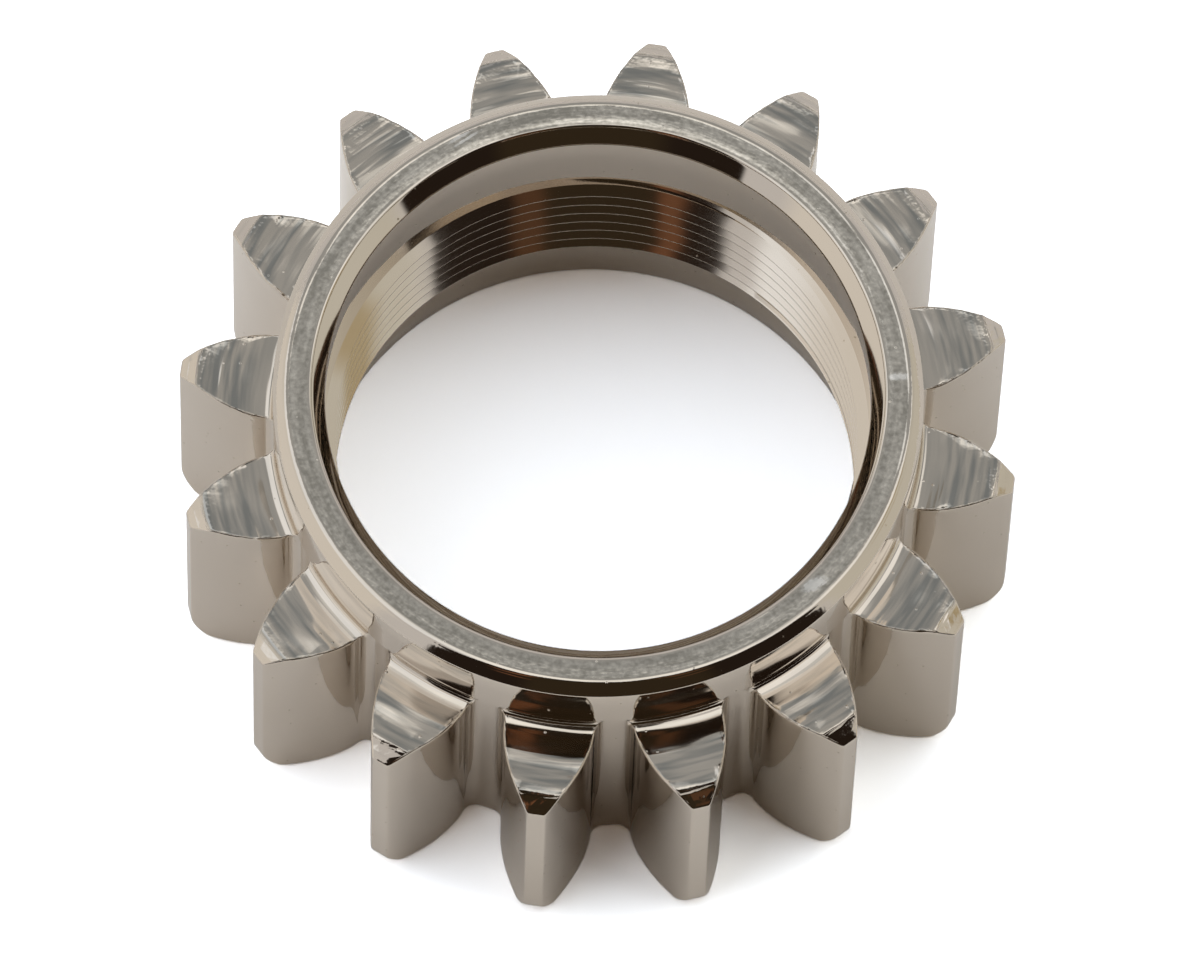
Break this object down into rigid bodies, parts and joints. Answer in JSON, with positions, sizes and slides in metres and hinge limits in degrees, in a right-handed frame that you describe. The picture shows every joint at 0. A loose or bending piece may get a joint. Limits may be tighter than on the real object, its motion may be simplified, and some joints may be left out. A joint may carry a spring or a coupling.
{
  "type": "spur pinion gear",
  "caption": "Nickel-plated steel spur pinion with straight involute teeth, a raised bevelled collar on one end and a threaded bore with a counterbore and a relief.",
  "frame": {"origin": "centre of the plain end face that the gear stands on, on the bore's axis", "axes": "+Z along the bore's axis towards the collar; a tooth points along -Y"},
  "size_m": [0.019, 0.019, 0.0084],
  "materials": {
    "plated_steel": "bright nickel plate over turned and hobbed steel"
  },
  "bodies": {
    "root": {"pinion_gear": "plated_steel"}
  },
  "joints": []
}
